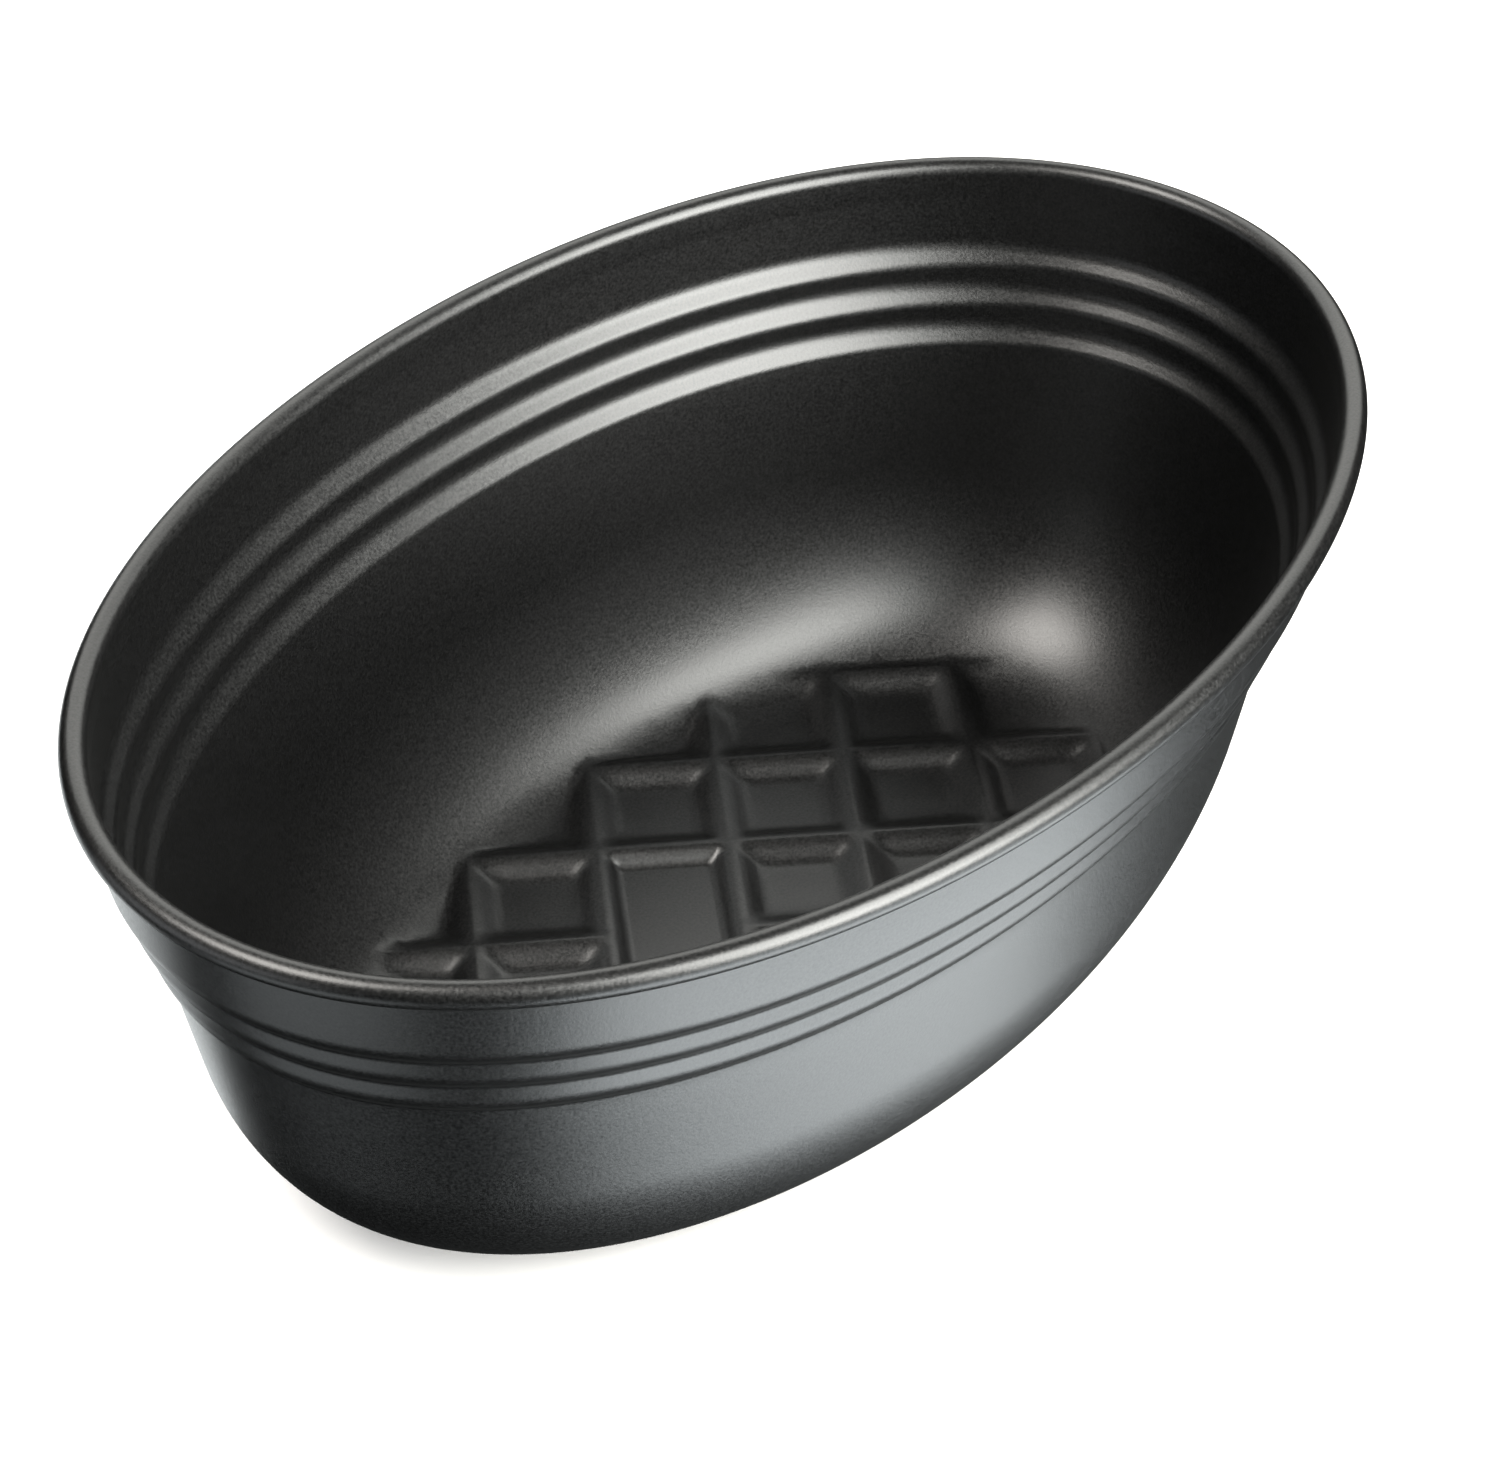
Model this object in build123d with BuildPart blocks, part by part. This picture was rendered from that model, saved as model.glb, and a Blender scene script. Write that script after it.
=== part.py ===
from build123d import *
from math import atan, cos, degrees, radians, sin, tan
import os

# A deep oval baking pan pressed from one sheet of steel. The origin is the middle of the underside of the
# base, +Z is up and +X is the long way of the oval.

# ---- overall size ----
length = 280.0              # outside of the rolled rim, the long way
width = 179.0               # outside of the rolled rim, the short way
height = 96.4               # underside of the base to the top of the rim
sheet = 0.6                 # thickness of the pressed sheet

# ---- rolled rim ----
bead_radius = 2.4           # outside of the roll
bead_wrap = 300.0           # how far the sheet's edge is rolled round, in degrees
wire_clearance = 0.05       # between the wire and the inside of the roll
band_start = 5.0            # the band below the roll runs straight down this far before it leans in
band_radius = 12.0          # bend where it starts to lean

# ---- ledges round the wall ----
ledge_count = 3
ledge_depth = 18.7          # middle of the rim's roll down to the edge of the first ledge
ledge_pitch = 7.37          # from one ledge to the next, downwards
ledge_inset = 7.665         # middle of the sheet at the edge of the first ledge, in from the rim's outside
ledge_pitch_inset = 2.644   # from one ledge to the next, inwards
ledge_run = 2.55            # how far a ledge reaches inwards
ledge_drop = 3.0            # how far a ledge falls over that reach
shoulder_radius = 5.0       # bend from the wall into a ledge
edge_radius = 2.5           # bend from a ledge into the wall below

# ---- bowl below the ledges ----
end_slope = 0.218           # how far the wall leans in for each millimetre down, at the two ends
side_slope = 0.158          # the same at the two long sides
corner_height = 35.5        # height of the round corner between wall and base
end_corner = 29.2           # reach of the round corner, at the two ends
side_corner = 20.0          # reach of the round corner, at the two long sides
corner_steps = 5            # the round corner is drawn through one more oval than this

# ---- waffle base ----
cell_pitch = 25.2           # from one ridge to the next
half_rows = 4               # rows of cells on each side of the middle, enough to cover the base
ridge_height = 2.5
ridge_top = 2.0             # width of the flat top of a ridge
flank_run = 4.2             # width of the slope on each side of a ridge
plain_flank_run = 2.6       # the same round the plain cell
plain_cells = [(-1, -1), (-1, 0)]  # the two cells beside the middle that make one long plain cell
tool_margin = 0.5           # how far the cells are cut past the foot and the top of the ridges

# ---- worked out from the sizes above ----
bead_level = height - bead_radius
sheet_radius = bead_radius - sheet / 2
path_inset = 27.2           # the rim and the ledges run parallel to the oval this far in from the rim
last_depth = ledge_depth + (ledge_count - 1) * ledge_pitch
last_inset = ledge_inset + (ledge_count - 1) * ledge_pitch_inset
mouth_level = bead_level - last_depth
mouth_end = length / 2 - last_inset + sheet / 2
mouth_side = width / 2 - last_inset + sheet / 2
wall_drop = mouth_level - corner_height
waffle_turn = (1, -1, 0)    # the ridges cross the oval at 45 degrees


def across(inset, depth):
    """Point of the wall's section, so far in from the rim's outside and so far below the roll's middle."""
    return (length / 2 - inset, bead_level - depth)


def wall_oval(drop, lift):
    """Level and half sizes of the bowl's straight wall, so far below its mouth, lift inside its outside."""
    return (mouth_level - drop, mouth_end - end_slope * drop - lift, mouth_side - side_slope * drop - lift)


def corner_oval(angle, lift):
    """The same at an angle down the round corner, 0 degrees at its top and 90 on the base."""
    rise = 1 - sin(radians(angle))
    reach = 1 - cos(radians(angle))
    level = lift + (corner_height - lift) * rise
    top_level, end, side = wall_oval(wall_drop, lift)
    end -= end_slope * corner_height * (1 - rise) + (end_corner - lift) * reach
    side -= side_slope * corner_height * (1 - rise) + (side_corner - lift) * reach
    return (level, end, side)


def bowl_ovals(lift):
    """Ovals of the bowl from its mouth to its base: the outside with lift 0, the inside with one sheet."""
    ovals = [wall_oval(0, lift), wall_oval(wall_drop / 2, lift)]
    for step in range(corner_steps + 1):
        ovals.append(corner_oval(90 * step / corner_steps, lift))
    return ovals


def widening(run):
    """How much further out a slope's underside starts on each side, for sheet of even thickness."""
    return sheet * tan(atan(ridge_height / run) / 2)


def waffle(level, under):
    """Lattice of ridges that stands on a level: the ridges' outside, or with under the hollows below them."""
    rows = range(-half_rows, half_rows)
    centres = []
    for row in rows:
        for column in rows:
            if (row, column) not in plain_cells:
                centres.append(((row + 0.5) * cell_pitch, (column + 0.5) * cell_pitch))
    reach = 2 * under * widening(flank_run)
    cell = cell_pitch - ridge_top - 2 * flank_run * (1 + tool_margin / ridge_height) + reach
    plain_reach = 2 * under * widening(plain_flank_run)
    plain = cell_pitch - ridge_top - 2 * plain_flank_run * (1 + tool_margin / ridge_height) + plain_reach
    foot_plane = Plane((0, 0, level - tool_margin), x_dir=waffle_turn)
    with BuildPart() as lattice:
        with BuildSketch(foot_plane):
            Rectangle(2 * half_rows * cell_pitch, 2 * half_rows * cell_pitch)
        extrude(amount=ridge_height + tool_margin)
        with BuildSketch(foot_plane):
            with Locations(*centres):
                Rectangle(cell, cell)
        tall = ridge_height + 2 * tool_margin
        extrude(amount=tall, taper=-degrees(atan(flank_run / ridge_height)), mode=Mode.SUBTRACT)
        with BuildSketch(foot_plane):
            with Locations((-cell_pitch / 2, 0)):
                Rectangle(plain, plain + cell_pitch)
        extrude(amount=tall, taper=-degrees(atan(plain_flank_run / ridge_height)), mode=Mode.SUBTRACT)
    return lattice.part


# ---- the hollow inside the bowl, up through its mouth and past the cut end of the last ledge ----
with BuildPart() as hollow:
    for level, end, side in bowl_ovals(sheet):
        with BuildSketch(Plane.XY.offset(level)):
            Ellipse(end, side)
    loft()
    with BuildSketch(Plane.XY.offset(mouth_level)):
        Ellipse(mouth_end - sheet, mouth_side - sheet)
    extrude(amount=ledge_pitch / 2)
    add(waffle(sheet, 0), mode=Mode.SUBTRACT)

# ---- the pressed sheet ----
with BuildPart() as pan_shell:
    # Bowl: drawn through ovals from the mouth down to the base.
    for level, end, side in bowl_ovals(0):
        with BuildSketch(Plane.XY.offset(level)):
            Ellipse(end, side)
    loft()

    # Rolled rim, plain band and ledges: one strip of sheet carried round the oval.
    with BuildLine(Plane.XY.offset(bead_level)) as strip_path:
        EllipticalCenterArc((0, 0), length / 2 - path_inset, width / 2 - path_inset, arc_size=360)
    with BuildSketch(Plane.XZ):
        with BuildLine():
            band_inset = bead_radius + sheet_radius
            points = [across(band_inset, 0), across(band_inset, band_start)]
            bends = [band_radius]
            for ledge in range(ledge_count):
                inset = ledge_inset + ledge * ledge_pitch_inset
                depth = ledge_depth + ledge * ledge_pitch
                points.append(across(inset - ledge_run, depth - ledge_drop))
                points.append(across(inset, depth))
                bends.extend([shoulder_radius, edge_radius])
            # The last ledge bends tightly and runs on level, to where the bowl's inside cuts it off.
            points.append(across(last_inset + ledge_run, last_depth))
            bends[-1] = sheet
            FilletPolyline(*points, radius=bends)
            CenterArc(across(bead_radius, 0), sheet_radius, 180, -bead_wrap)
            offset(amount=sheet / 2, side=Side.BOTH)
        make_face()
    sweep(path=strip_path.line)

    # The hollow leaves an even sheet with ridges on the base, and the ridges are hollow from below.
    add(hollow.part, mode=Mode.SUBTRACT)
    add(waffle(0, 1), mode=Mode.SUBTRACT)

# ---- the wire inside the rolled rim ----
with BuildPart() as rim_wire:
    with BuildSketch(Plane.XZ):
        with Locations(across(bead_radius, 0)):
            Circle(bead_radius - sheet - wire_clearance)
    sweep(path=strip_path.line)

# ---- labels and files ----
os.makedirs("parts", exist_ok=True)
pan_shell.part.label = "pan_shell"
rim_wire.part.label = "rim_wire"
export_step(pan_shell.part, "parts/pan_shell.step")
export_step(rim_wire.part, "parts/rim_wire.step")
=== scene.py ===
"""Looks of a deep oval baking pan: coated sheet steel with a rolled rim, three ledges and a waffle base."""

import logging
import math
from dataclasses import dataclass, field
from enum import Enum

import bpy
import numpy as np
from mathutils import Matrix, Vector
from mathutils.geometry import delaunay_2d_cdt


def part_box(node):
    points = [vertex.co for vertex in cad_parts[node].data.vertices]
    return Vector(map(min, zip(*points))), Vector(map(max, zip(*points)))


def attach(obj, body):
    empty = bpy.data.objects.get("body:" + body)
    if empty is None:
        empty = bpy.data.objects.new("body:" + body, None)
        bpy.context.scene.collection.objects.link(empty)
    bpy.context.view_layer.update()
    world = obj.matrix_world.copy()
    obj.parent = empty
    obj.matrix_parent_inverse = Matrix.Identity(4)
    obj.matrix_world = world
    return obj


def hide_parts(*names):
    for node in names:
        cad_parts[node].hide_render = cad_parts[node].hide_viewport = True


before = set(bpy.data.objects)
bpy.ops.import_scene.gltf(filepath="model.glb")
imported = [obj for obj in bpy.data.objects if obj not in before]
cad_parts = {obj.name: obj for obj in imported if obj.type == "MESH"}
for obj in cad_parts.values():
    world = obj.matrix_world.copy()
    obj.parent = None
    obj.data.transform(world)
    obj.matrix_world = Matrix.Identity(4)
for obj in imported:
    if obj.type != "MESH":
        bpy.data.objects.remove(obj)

log = logging.getLogger("oval_pan")
MM = 0.001
SHELL_NODE = "pan_shell"
WIRE_NODE = "rim_wire"


def linear(code: str) -> tuple[float, float, float, float]:
    """Turns an sRGB hex colour into linear light.

    Args:
        code: six hex digits with a leading hash.

    Returns:
        Red, green and blue in linear light, and an alpha of one.
    """
    parts = [int(code[i : i + 2], 16) / 255 for i in (1, 3, 5)]
    light = [c / 12.92 if c <= 0.04045 else ((c + 0.055) / 1.055) ** 2.4 for c in parts]
    return (light[0], light[1], light[2], 1.0)


def soft_max(first: np.ndarray, second: np.ndarray, blend: float) -> np.ndarray:
    """Higher of two heights, rounded over where they cross: max + (blend - gap)^2 / (4 blend) for a small gap.

    Args:
        first: heights.
        second: heights, of the same shape.
        blend: how far apart the two are when the rounding starts.

    Returns:
        The rounded higher height.
    """
    near = np.maximum(blend - np.abs(first - second), 0.0)
    return np.maximum(first, second) + near**2 / (4 * blend)


def smooth_step(value: np.ndarray) -> np.ndarray:
    """Ramp from 0 to 1 with flat ends: 3 v^2 - 2 v^3 of the clipped value."""
    v = np.clip(value, 0.0, 1.0)
    return v * v * (3 - 2 * v)


def rounded_line(corners: np.ndarray, radii: np.ndarray, bend_points: int) -> np.ndarray:
    """Runs along straight stretches and goes round each inner corner on an arc tangent to both.

    The arc's tangent length is radius * tan(turn / 2), and its points are even in angle.

    Args:
        corners: the corner points, one per row.
        radii: one radius for each corner that isn't an end.
        bend_points: how many points each arc gets.

    Returns:
        The points of the line, one per row.
    """
    runs = [corners[:1]]
    for before, corner, after, radius in zip(corners, corners[1:], corners[2:], radii):
        arrive = (corner - before) / np.linalg.norm(corner - before)
        leave = (after - corner) / np.linalg.norm(after - corner)
        turn = math.acos(float(np.clip(arrive @ leave, -1, 1)))
        side = math.copysign(1.0, arrive[0] * leave[1] - arrive[1] * leave[0])
        start = corner - arrive * radius * math.tan(turn / 2)
        inward = np.array([-arrive[1], arrive[0]]) * side
        angle = np.linspace(0, turn, bend_points)[:, None]
        runs.append(start + inward * radius * (1 - np.cos(angle)) + arrive * radius * np.sin(angle))
    runs.append(corners[-1:])
    return np.concatenate(runs)


class Coating(Enum):
    """Which finish a piece gets."""

    NON_STICK = "nonstick_steel"
    DRAWN_WIRE = "rim_wire_steel"


class NodeSheet:
    """A material's node tree with one short way to add a node."""

    def __init__(self, name: str) -> None:
        """Starts an empty material with an output node."""
        self.material = bpy.data.materials.new(name)
        self.material.use_nodes = True
        self.tree = self.material.node_tree
        self.tree.nodes.clear()

    def add(self, kind: str, settings: dict | None = None, **inputs: object) -> bpy.types.Node:
        """Adds a node with its settings and links.

        Args:
            kind: the node's type name.
            settings: attributes of the node, by name.
            inputs: values or output sockets for its inputs; an underscore stands for a space.

        Returns:
            The new node.
        """
        node = self.tree.nodes.new(kind)
        for key, value in (settings or {}).items():
            setattr(node, key, value)
        for key, value in inputs.items():
            socket = node.inputs[key.replace("_", " ")]
            if isinstance(value, bpy.types.NodeSocket):
                self.tree.links.new(value, socket)
            else:
                socket.default_value = value
        return node


@dataclass(frozen=True)
class NonStickCoating:
    """PTFE coating sprayed and baked on sheet steel.

    It gives the eye a satin charcoal skin with a metallic filler: broad soft highlights, a fine dry grain from
    the sprayed droplets, and a faint orange peel.
    """

    dark: str = "#434445"
    light: str = "#696a6b"
    roughness: float = 0.37
    roughness_swing: float = 0.05
    grain: float = 0.55 * MM      # a sprayed droplet, drawn about twice as coarse as it is so that it shows
    peel: float = 2.2 * MM        # waves of the orange peel
    grain_height: float = 0.024 * MM
    peel_height: float = 0.010 * MM

    def build(self) -> bpy.types.Material:
        """Makes the material from noise in the piece's own coordinates.

        Returns:
            The finished material.
        """
        sheet = NodeSheet(Coating.NON_STICK.value + "_coating")
        place = sheet.add("ShaderNodeTexCoord").outputs["Object"]
        grain = sheet.add("ShaderNodeTexNoise", Vector=place, Scale=1 / self.grain, Detail=2.0, Roughness=0.6)
        peel = sheet.add("ShaderNodeTexNoise", Vector=place, Scale=1 / self.peel, Detail=1.0, Roughness=0.5)
        tint = sheet.add("ShaderNodeMix", {"data_type": "RGBA"}, Factor=grain.outputs["Fac"])
        tint.inputs[6].default_value = linear(self.dark)
        tint.inputs[7].default_value = linear(self.light)
        rough = sheet.add(
            "ShaderNodeMapRange", Value=grain.outputs["Fac"], From_Min=0.3, From_Max=0.7,
            To_Min=self.roughness - self.roughness_swing, To_Max=self.roughness + self.roughness_swing,
        )
        waves = sheet.add("ShaderNodeBump", Height=peel.outputs["Fac"], Distance=self.peel_height, Strength=1.0)
        skin = sheet.add(
            "ShaderNodeBump", Height=grain.outputs["Fac"], Distance=self.grain_height, Strength=1.0,
            Normal=waves.outputs["Normal"],
        )
        shader = sheet.add(
            "ShaderNodeBsdfPrincipled", Base_Color=tint.outputs[2], Roughness=rough.outputs["Result"],
            Metallic=1.0, Normal=skin.outputs["Normal"],
        )
        sheet.add("ShaderNodeOutputMaterial", Surface=shader.outputs["BSDF"])
        return sheet.material


@dataclass(frozen=True)
class GalvanisedWire:
    """Drawn steel wire with a thin zinc coat: pale grey, with a soft metal shine and faint spangle."""

    dark: str = "#9a9da0"
    light: str = "#b9bcbf"
    roughness: float = 0.42
    spangle: float = 1.6 * MM

    def build(self) -> bpy.types.Material:
        """Makes the material.

        Returns:
            The finished material.
        """
        sheet = NodeSheet(Coating.DRAWN_WIRE.value + "_zinc")
        place = sheet.add("ShaderNodeTexCoord").outputs["Object"]
        spangle = sheet.add("ShaderNodeTexVoronoi", Vector=place, Scale=1 / self.spangle)
        tint = sheet.add("ShaderNodeMix", {"data_type": "RGBA"}, Factor=spangle.outputs["Distance"])
        tint.inputs[6].default_value = linear(self.dark)
        tint.inputs[7].default_value = linear(self.light)
        shader = sheet.add(
            "ShaderNodeBsdfPrincipled", Base_Color=tint.outputs[2], Roughness=self.roughness, Metallic=1.0
        )
        sheet.add("ShaderNodeOutputMaterial", Surface=shader.outputs["BSDF"])
        return sheet.material


@dataclass(frozen=True)
class Bowl:
    """The pan's wall and round corner below the ledges: ovals that shrink from the mouth to the base."""

    end: float                    # half size of the mouth at the middle of the sheet, the long way
    side: float                   # the same the short way
    top: float                    # level of the mouth
    sheet: float
    end_slope: float = 0.218
    side_slope: float = 0.158
    corner_height: float = 35.5 * MM
    end_corner: float = 29.2 * MM
    side_corner: float = 20.0 * MM
    halvings: int = 40            # steps of the search for a level, enough for a millionth of a millimetre

    def wall(self, level: np.ndarray) -> tuple[np.ndarray, np.ndarray]:
        """Half sizes on the straight wall: mouth size less slope times drop.

        Args:
            level: heights above the underside of the base.

        Returns:
            Half sizes the long way and the short way.
        """
        drop = self.top - level
        return self.end - self.end_slope * drop, self.side - self.side_slope * drop

    def corner(self, angle: np.ndarray) -> tuple[np.ndarray, np.ndarray, np.ndarray]:
        """Level and half sizes on the round corner, at the middle of the sheet.

        The level is (height)(1 - sin angle); each half size loses its slope's share of the drop and
        reach * (1 - cos angle).

        Args:
            angle: 0 at the corner's top to pi / 2 on the base.

        Returns:
            Level, half size the long way, half size the short way.
        """
        lift = self.sheet / 2
        fall = np.sin(angle)
        reach = 1 - np.cos(angle)
        end, side = self.wall(np.asarray(self.corner_height))
        level = lift + (self.corner_height - lift) * (1 - fall)
        end = end - self.end_slope * self.corner_height * fall - (self.end_corner - lift) * reach
        side = side - self.side_slope * self.corner_height * fall - (self.side_corner - lift) * reach
        return level, end, side

    def floor_level(self, x: np.ndarray, y: np.ndarray) -> np.ndarray:
        """Level of the smooth base and corner above a point, found by halving the corner's angle range.

        Args:
            x: places the long way.
            y: places the short way.

        Returns:
            Levels of the middle of the sheet.
        """
        low = np.zeros_like(x)
        high = np.full_like(x, math.pi / 2)
        for _ in range(self.halvings):
            middle = (low + high) / 2
            _, end, side = self.corner(middle)
            inside = (x / end) ** 2 + (y / side) ** 2 < 1
            low = np.where(inside, middle, low)
            high = np.where(inside, high, middle)
        return self.corner((low + high) / 2)[0]


@dataclass(frozen=True)
class Waffle:
    """Ridges pressed up into the base at 45 degrees to its long way, with one plain cell two cells long."""

    sheet: float
    pitch: float = 25.2 * MM
    height: float = 2.5 * MM
    top: float = 2.0 * MM         # flat width on the inside of the pan
    run: float = 4.2 * MM
    plain_run: float = 2.6 * MM
    bend: float = 0.90 * MM       # how gently top and flank meet, as a height difference
    mitre: float = 1.5 * MM

    def half_top(self) -> float:
        """Half width of a ridge's top at the middle of the sheet."""
        return self.top / 2 - self.sheet / 2 * math.tan(math.atan(self.height / self.run) / 2)

    def raw(self, distance: np.ndarray, run: np.ndarray) -> np.ndarray:
        """Height of a ridge that keeps rising to its middle: height * (edge - distance) / run."""
        return self.height * (self.half_top() + run - distance) / run

    def ridge_level(self, x: np.ndarray, y: np.ndarray) -> np.ndarray:
        """Level of the ridges over a point, falling on below the floor between them.

        The higher of the two ridge directions is taken with a rounded mitre and cut off at the ridge's height.

        Args:
            x: places the long way.
            y: places the short way.

        Returns:
            Levels of the middle of the sheet.
        """
        across = (x - y) / math.sqrt(2)
        along = (x + y) / math.sqrt(2)
        plain = (across < 0) & (across > -self.pitch) & (np.abs(along) < self.pitch)
        run = np.where(plain, self.plain_run, self.run)
        near_across = np.abs(across - self.pitch * np.round(across / self.pitch))
        near_along = np.abs(along - self.pitch * np.round(along / self.pitch))
        near_along = np.where(plain, self.pitch - np.abs(along), near_along)
        high = soft_max(self.raw(near_across, run), self.raw(near_along, run), self.mitre)
        capped = -soft_max(-high, np.full_like(high, -self.height), self.bend)
        return self.sheet / 2 + capped

    def lines(self, reach: float) -> np.ndarray:
        """Places of grid lines across the ridges, close together where the sheet bends.

        Args:
            reach: how far out from the middle they go.

        Returns:
            Sorted places on both sides of the middle.
        """
        crest = self.half_top()
        foot = crest + self.run
        plain_foot = crest + self.plain_run
        bend = self.bend * self.run / self.height
        half = np.array([
            0.0, crest - bend, crest - bend / 3, crest + bend / 3, crest + bend,
            plain_foot - bend / 2, plain_foot + bend / 2, foot - bend, foot - bend / 3, foot + bend / 3,
            foot + bend, 0.35 * self.pitch, 0.5 * self.pitch,
        ])
        half = np.unique(np.clip(half, 0, self.pitch / 2))
        one = np.concatenate([-half[:0:-1], half])[1:]
        count = int(math.ceil(reach / self.pitch))
        steps = np.arange(-count, count + 1)[:, None] * self.pitch
        return np.unique(np.round((steps + one[None, :]).ravel(), 9))


@dataclass
class PressedSheet:
    """The pan itself, pressed from one sheet: rolled rim, plain band, ledges, bowl and waffle base."""

    half_length: float
    half_width: float
    height: float
    sheet: float = 0.6 * MM
    bead_radius: float = 2.4 * MM
    bead_wrap: float = math.radians(300)
    band_start: float = 5.0 * MM
    band_radius: float = 12.0 * MM
    ledge_count: int = 3
    ledge_depth: float = 18.7 * MM
    ledge_pitch: float = 7.37 * MM
    ledge_inset: float = 7.665 * MM
    ledge_pitch_inset: float = 2.644 * MM
    ledge_run: float = 2.55 * MM
    ledge_drop: float = 3.0 * MM
    shoulder_radius: float = 5.0 * MM
    edge_radius: float = 2.5 * MM
    path_inset: float = 27.2 * MM
    around: int = 288             # points round each ring
    corner_rings: int = 26
    wall_rings: int = 8
    bend_points: int = 7
    bead_points: int = 28
    cap_points: int = 4           # round the sheet's raw edge
    ring_angle: float = math.radians(64)   # how far down the round corner the base's own mesh starts
    ease_start: float = 0.25      # share of the corner's height where rings begin to turn parallel to the ledges
    edge_lead: float = 1.2        # length of wall kept below the last ledge, in edge radii
    grid_margin: float = 0.5 * MM   # gap between the base's grid and its edge ring
    slope_step: float = 0.02 * MM   # step that slopes are measured over
    bowl: Bowl = field(init=False)
    waffle: Waffle = field(init=False)

    def __post_init__(self) -> None:
        """Works out the bowl and the waffle from the overall size."""
        self.last_depth = self.ledge_depth + (self.ledge_count - 1) * self.ledge_pitch
        self.last_inset = self.ledge_inset + (self.ledge_count - 1) * self.ledge_pitch_inset
        self.bead_level = self.height - self.bead_radius
        self.bowl = Bowl(
            end=self.half_length - self.last_inset, side=self.half_width - self.last_inset,
            top=self.bead_level - self.last_depth, sheet=self.sheet,
        )
        self.waffle = Waffle(sheet=self.sheet)
        self.turn = np.linspace(0, 2 * math.pi, self.around, endpoint=False)

    def parallel(self, inset: np.ndarray) -> tuple[np.ndarray, np.ndarray]:
        """Rings that run parallel to the oval path: its point plus its outward normal times the distance.

        Args:
            inset: distances in from the rim's outside.

        Returns:
            Places the long way and the short way, one row per ring.
        """
        end, side = self.half_length - self.path_inset, self.half_width - self.path_inset
        x, y = end * np.cos(self.turn), side * np.sin(self.turn)
        nx, ny = side * np.cos(self.turn), end * np.sin(self.turn)
        size = np.hypot(nx, ny)
        out = (self.path_inset - inset)[:, None]
        return x + nx / size * out, y + ny / size * out

    def bowl_rings(self) -> np.ndarray:
        """Rings up the round corner and the straight wall, easing from pure ovals to the ledges' parallel ones.

        Returns:
            Points as rings by turn by three.
        """
        angle = np.linspace(self.ring_angle, 0, self.corner_rings)
        level, end, side = self.bowl.corner(angle)
        wall_top = self.bowl.top - self.edge_lead * self.edge_radius
        rise = np.linspace(self.bowl.corner_height, wall_top, self.wall_rings + 1)[1:]
        wall_end, wall_side = self.bowl.wall(rise)
        level = np.concatenate([level, rise])
        end = np.concatenate([end, wall_end])[:, None]
        side = np.concatenate([side, wall_side])[:, None]
        mouth_x, mouth_y = self.parallel(np.array([self.last_inset]))
        ease_level = self.ease_start * self.bowl.corner_height
        ease = smooth_step((level - ease_level) / (self.bowl.top - ease_level))
        x = end * np.cos(self.turn) + ease[:, None] * (mouth_x - self.bowl.end * np.cos(self.turn))
        y = side * np.sin(self.turn) + ease[:, None] * (mouth_y - self.bowl.side * np.sin(self.turn))
        return np.stack([x, y, np.broadcast_to(level[:, None], x.shape)], axis=2)

    def strip_section(self) -> np.ndarray:
        """Middle line of the sheet from the last ledge's edge up to the end of the roll, as inset and level.

        Straight stretches with round bends, then an arc of the roll's middle radius.

        Returns:
            Insets and levels, one row per point.
        """
        lean = (self.bowl.end_slope + self.bowl.side_slope) / 2
        fall = self.edge_lead * self.edge_radius
        corners = [(self.last_inset + lean * fall, self.last_depth + fall)]
        radii = []
        for ledge in reversed(range(self.ledge_count)):
            inset = self.ledge_inset + ledge * self.ledge_pitch_inset
            depth = self.ledge_depth + ledge * self.ledge_pitch
            corners += [(inset, depth), (inset - self.ledge_run, depth - self.ledge_drop)]
            radii += [self.edge_radius, self.shoulder_radius]
        roll = self.bead_radius - self.sheet / 2
        start = self.bead_radius + roll
        corners += [(start, self.band_start), (start, 0.0)]
        radii.append(self.band_radius)
        line = rounded_line(np.array(corners), np.array(radii), self.bend_points)
        swing = np.linspace(0, self.bead_wrap, self.bead_points + 1)[1:]
        bead = np.stack([self.bead_radius + roll * np.cos(swing), -roll * np.sin(swing)], axis=1)
        section = np.concatenate([line, bead])
        return np.stack([section[:, 0], self.bead_level - section[:, 1]], axis=1)

    def middle_rings(self) -> np.ndarray:
        """All rings of the sheet's middle surface, from the base's edge to the end of the roll.

        Returns:
            Points as rings by turn by three.
        """
        section = self.strip_section()
        x, y = self.parallel(section[:, 0])
        strip = np.stack([x, y, np.broadcast_to(section[:, 1:], x.shape)], axis=2)
        return np.concatenate([self.bowl_rings(), strip[1:]])

    def wall_skin(self) -> np.ndarray:
        """Both faces of the wall and the roll as one run of rings: inside up, round the raw edge, outside down.

        Each face is the middle surface moved half a sheet along its normal, the cross product of the steps
        round and up.

        Returns:
            Points as rings by turn by three.
        """
        middle = self.middle_rings()
        around = np.roll(middle, -1, axis=1) - np.roll(middle, 1, axis=1)
        gaps = np.linalg.norm(np.diff(middle[:, 0], axis=0), axis=1)
        upward = np.gradient(middle, np.concatenate([[0], np.cumsum(gaps)]), axis=0)
        normal = np.cross(upward, around)
        normal /= np.linalg.norm(normal, axis=2, keepdims=True)
        ahead = upward[-1] / np.linalg.norm(upward[-1], axis=1, keepdims=True)
        half = self.sheet / 2
        cap_angle = np.linspace(0, math.pi, self.cap_points + 2)[1:-1, None, None]
        cap = middle[-1] + half * (np.cos(cap_angle) * normal[-1] + np.sin(cap_angle) * ahead)
        return np.concatenate([middle + half * normal, cap, (middle - half * normal)[::-1]])

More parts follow.
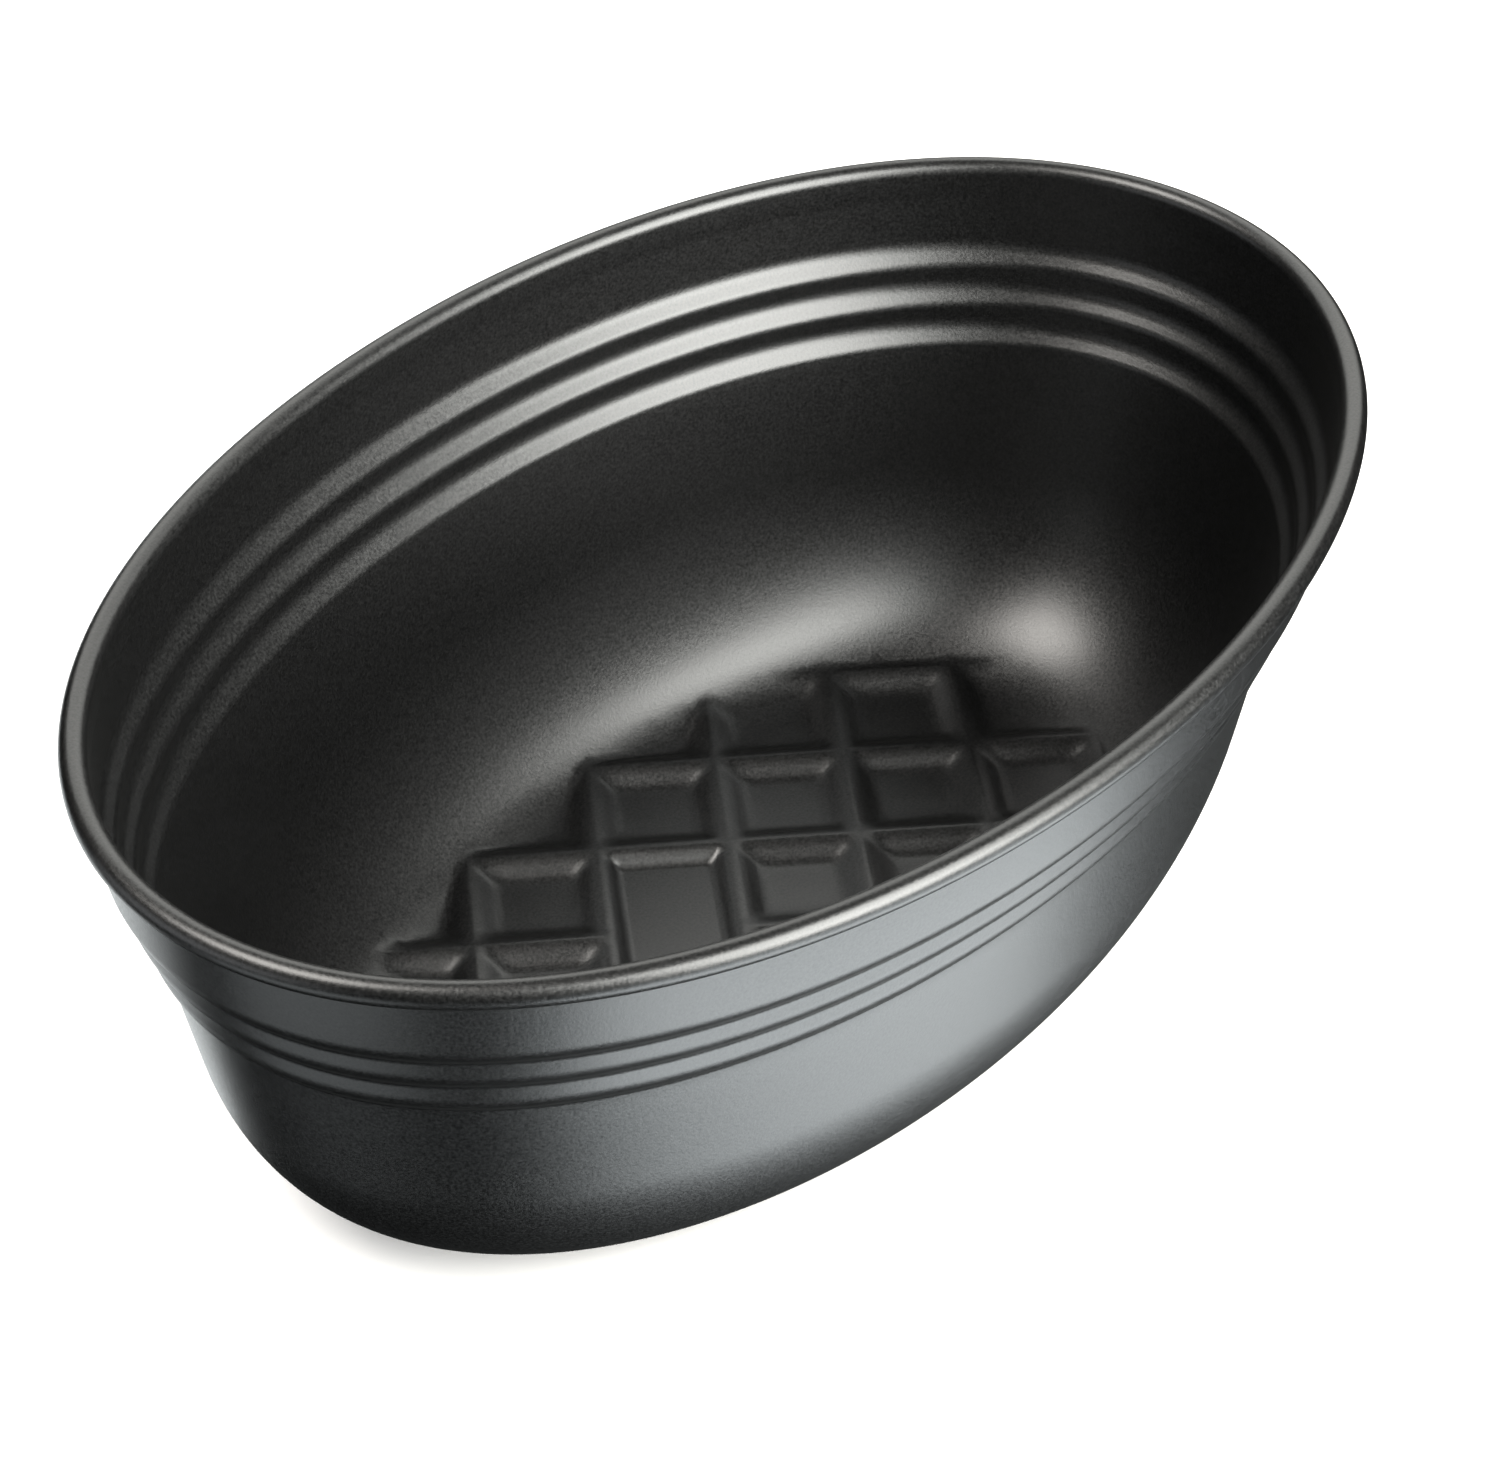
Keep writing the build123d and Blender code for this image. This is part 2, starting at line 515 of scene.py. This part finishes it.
    def base_level(self, x: np.ndarray, y: np.ndarray) -> np.ndarray:
        """Level of the base's middle surface: the higher of the smooth floor and the ridges, rounded between.

        Args:
            x: places the long way.
            y: places the short way.

        Returns:
            Levels.
        """
        return soft_max(self.bowl.floor_level(x, y), self.waffle.ridge_level(x, y), self.waffle.bend)

    def base_points(self, ring: np.ndarray) -> tuple[np.ndarray, np.ndarray]:
        """Grid points of the base along the ridges, joined to its edge ring by triangles.

        Args:
            ring: the edge ring's places, one row per point.

        Returns:
            The inner grid points' places, and triangles that count the ring's points first.
        """
        _, end, side = self.bowl.corner(np.asarray(self.ring_angle))
        lines = self.waffle.lines(math.hypot(float(end), float(side)))
        across, along = np.meshgrid(lines, lines, indexing="ij")
        x = ((across + along) / math.sqrt(2)).ravel()
        y = ((along - across) / math.sqrt(2)).ravel()
        keep = (x / (end - self.grid_margin)) ** 2 + (y / (side - self.grid_margin)) ** 2 < 1
        grid = np.stack([x[keep], y[keep]], axis=1)
        every = np.concatenate([ring, grid]) / MM
        found = delaunay_2d_cdt([Vector(p) for p in every.tolist()], [], [], 0, 1e-6)
        source = np.array([first[0] for first in found[3]])
        return grid, source[np.array(found[2])]

    def base_faces(self, grid: np.ndarray, sign: float) -> np.ndarray:
        """One face of the base: the middle surface moved half a sheet along its normal.

        The normal is (-slope x, -slope y, 1) over its length, with slopes from small steps.

        Args:
            grid: the grid points' places.
            sign: 1 for the inside, -1 for the underside.

        Returns:
            Points, one row each.
        """
        x, y = grid[:, 0], grid[:, 1]
        step = self.slope_step
        level = self.base_level(x, y)
        slope_x = (self.base_level(x + step, y) - self.base_level(x - step, y)) / (2 * step)
        slope_y = (self.base_level(x, y + step) - self.base_level(x, y - step)) / (2 * step)
        normal = np.stack([-slope_x, -slope_y, np.ones_like(x)], axis=1)
        normal /= np.linalg.norm(normal, axis=1, keepdims=True)
        return np.stack([x, y, level], axis=1) + sign * self.sheet / 2 * normal

    def build(self) -> bpy.types.Object:
        """Joins wall, roll and both faces of the base into one closed mesh.

        Returns:
            The pan's object, at the origin.
        """
        skin = self.wall_skin()
        rings, around = skin.shape[:2]
        count = np.arange(rings * around).reshape(rings, around)
        below, above = count[:-1], count[1:]
        quads = np.stack([below, np.roll(below, -1, 1), np.roll(above, -1, 1), above], axis=2).reshape(-1, 4)
        _, end, side = self.bowl.corner(np.asarray(self.ring_angle))
        edge = np.stack([end * np.cos(self.turn), side * np.sin(self.turn)], axis=1)
        grid, triangles = self.base_points(edge)
        inner_index = np.concatenate([count[0], rings * around + np.arange(len(grid))])
        outer_index = np.concatenate([count[-1], rings * around + len(grid) + np.arange(len(grid))])
        inside = inner_index[triangles]
        under = outer_index[triangles[:, ::-1]]
        points = np.concatenate([skin.reshape(-1, 3), self.base_faces(grid, 1.0), self.base_faces(grid, -1.0)])
        mesh = bpy.data.meshes.new("pressed_sheet")
        mesh.from_pydata(points, [], quads[:, ::-1].tolist() + inside.tolist() + under.tolist())
        mesh.validate()
        mesh.shade_smooth()
        pan = bpy.data.objects.new("pressed_sheet", mesh)
        bpy.context.scene.collection.objects.link(pan)
        log.info("pressed_sheet: %d points, %d faces", len(mesh.vertices), len(mesh.polygons))
        return pan

    def dress(self, pan: bpy.types.Object, finish: NonStickCoating) -> None:
        """Gives the pan its coating and ties it to the frame.

        Args:
            pan: the pan's object.
            finish: the coating.
        """
        pan.data.materials.append(finish.build())
        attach(pan, "root")
        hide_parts(SHELL_NODE)


@dataclass
class RimWire:
    """The wire ring hidden inside the roll, kept as modelled, with a zinc finish."""

    node: str = WIRE_NODE

    def dress(self, finish: GalvanisedWire) -> None:
        """Puts the finish on every material slot of the wire.

        Args:
            finish: the wire's finish.
        """
        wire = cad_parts[self.node]
        material = finish.build()
        for place in wire.material_slots:
            place.material = material
        log.info("%s: kept, with a zinc finish", self.node)


@dataclass(frozen=True)
class Softbox:
    """A rectangular studio light."""

    name: str
    azimuth: float                # degrees from +X towards +Y, seen from above
    elevation: float
    width: float
    depth: float
    brightness: float             # radiance of its face
    colour: str = "#ffffff"
    distance: float = 1.6

    def build(self, aim: Vector) -> None:
        """Places the light on a sphere round the aim, facing it; its power is pi * area * brightness.

        Args:
            aim: the point that the light faces.
        """
        lamp = bpy.data.lights.new(self.name, "AREA")
        lamp.shape = "RECTANGLE"
        lamp.size = self.width
        lamp.size_y = self.depth
        lamp.energy = math.pi * self.width * self.depth * self.brightness
        lamp.color = linear(self.colour)[:3]
        turn, lift = math.radians(self.azimuth), math.radians(self.elevation)
        away = Vector((math.cos(lift) * math.cos(turn), math.cos(lift) * math.sin(turn), math.sin(lift)))
        level = Vector((-math.sin(turn), math.cos(turn), 0))
        box = bpy.data.objects.new(self.name, lamp)
        turned = Matrix((level, away.cross(level), away)).transposed().to_4x4()
        box.matrix_world = Matrix.Translation(aim + away * self.distance) @ turned
        box.visible_camera = False
        bpy.context.scene.collection.objects.link(box)


@dataclass
class Studio:
    """A pale floor, soft light and the camera."""

    rim_level: float
    azimuth: float = -52.04       # degrees, 0 looks along +Y
    elevation: float = 38.31
    roll: float = 0.574
    distance: float = 0.7483      # from the point that the camera faces
    shift_up: float = -0.03522    # where the camera points, measured from the middle of the rim in its own view
    shift_right: float = 0.00034
    lens: float = 103.56
    floor_colour: str = "#f4f4f4"
    floor_reach: float = 6.0
    floor_level: float = -0.2 * MM   # just under the pan, so that their faces don't share a plane
    world_strength: float = 1.4

    def camera(self) -> None:
        """Makes the camera: back along its view from the point that it faces, then rolled about its view."""
        turn, lift, roll = math.radians(self.azimuth), math.radians(self.elevation), math.radians(self.roll)
        back = Vector((math.sin(turn) * math.cos(lift), -math.cos(turn) * math.cos(lift), math.sin(lift)))
        level = Vector((math.cos(turn), math.sin(turn), 0))
        up = back.cross(level)
        right = math.cos(roll) * level + math.sin(roll) * up
        top = math.cos(roll) * up - math.sin(roll) * level
        place = Vector((0, 0, self.rim_level)) + back * self.distance
        place += right * self.shift_right + top * self.shift_up
        lens = bpy.data.cameras.new("camera")
        lens.lens = self.lens
        lens.sensor_width = 36.0
        lens.clip_start = 0.01
        view = bpy.data.objects.new("camera", lens)
        turned = Matrix((right, top, back)).transposed().to_4x4()
        view.matrix_world = Matrix.Translation(place) @ turned
        bpy.context.scene.collection.objects.link(view)
        bpy.context.scene.camera = view

    def floor(self) -> None:
        """Makes the pale floor under the pan."""
        mesh = bpy.data.meshes.new("floor")
        size, level = self.floor_reach, self.floor_level
        corners = [(-size, -size, level), (size, -size, level), (size, size, level), (-size, size, level)]
        mesh.from_pydata(corners, [], [(0, 1, 2, 3)])
        floor = bpy.data.objects.new("floor", mesh)
        bpy.context.scene.collection.objects.link(floor)
        paint = NodeSheet("floor_paint")
        shader = paint.add(
            "ShaderNodeBsdfPrincipled", Base_Color=linear(self.floor_colour), Roughness=0.9, Specular_IOR_Level=0.1
        )
        paint.add("ShaderNodeOutputMaterial", Surface=shader.outputs["BSDF"])
        mesh.materials.append(paint.material)
        floor.visible_glossy = False  # the pan mirrors the bounce lights below the floor instead
        floor.visible_shadow = False

    def light(self) -> None:
        """Makes the soft sky light and the softboxes."""
        world = bpy.data.worlds.new("studio")
        bpy.context.scene.world = world
        world.use_nodes = True
        sky = world.node_tree.nodes["Background"]
        sky.inputs["Color"].default_value = (1, 1, 1, 1)
        sky.inputs["Strength"].default_value = self.world_strength
        world.cycles_visibility.glossy = False
        aim = Vector((0, 0, self.rim_level / 2))
        for box in SOFTBOXES:
            box.build(aim)
        bpy.context.scene.view_settings.view_transform = "Standard"


# Boxes with a negative elevation stand below the floor's level: the outside wall mirrors them through the floor.
SOFTBOXES = (
    Softbox("key", azimuth=-85, elevation=36, width=1.26, depth=1.26, brightness=9.8, colour="#fffdf6"),
    Softbox("key_low", azimuth=-84, elevation=9, width=1.20, depth=0.66, brightness=8.5, colour="#fffdf6"),
    Softbox("left_bounce", azimuth=-85, elevation=-26, width=1.70, depth=0.70, brightness=2.4, colour="#f6fbfb"),
    Softbox("low_bounce", azimuth=-78, elevation=-50, width=1.90, depth=0.66, brightness=5.2, colour="#f6fbfb"),
    Softbox("side", azimuth=36, elevation=34, width=2.32, depth=1.04, brightness=2.2, colour="#fffdf6"),
    Softbox("side_bounce", azimuth=50, elevation=-22, width=0.92, depth=1.20, brightness=1.2, colour="#f6fbfb"),
    Softbox("rear_bounce", azimuth=82, elevation=-34, width=1.30, depth=0.90, brightness=2.2, colour="#f6fbfb"),
    Softbox("top", azimuth=147, elevation=60, width=0.90, depth=0.72, brightness=9.0, colour="#fff9f1"),
    Softbox("back", azimuth=150, elevation=2, width=2.00, depth=0.86, brightness=0.8),
    Softbox("back_bounce", azimuth=174, elevation=-38, width=1.20, depth=0.80, brightness=1.0, colour="#f6fbfb"),
)


def main() -> None:
    """Builds the pan, its wire and the studio, and reports the pan and the wire."""
    logging.basicConfig(level=logging.INFO, format="%(name)s: %(message)s")
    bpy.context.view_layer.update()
    low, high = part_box(SHELL_NODE)
    pan = PressedSheet(half_length=high[0], half_width=high[1], height=high[2])
    pan.dress(pan.build(), NonStickCoating())
    RimWire().dress(GalvanisedWire())
    studio = Studio(rim_level=high[2] - pan.bead_radius)
    studio.floor()
    studio.light()
    studio.camera()


if __name__ == "__main__":
    main()
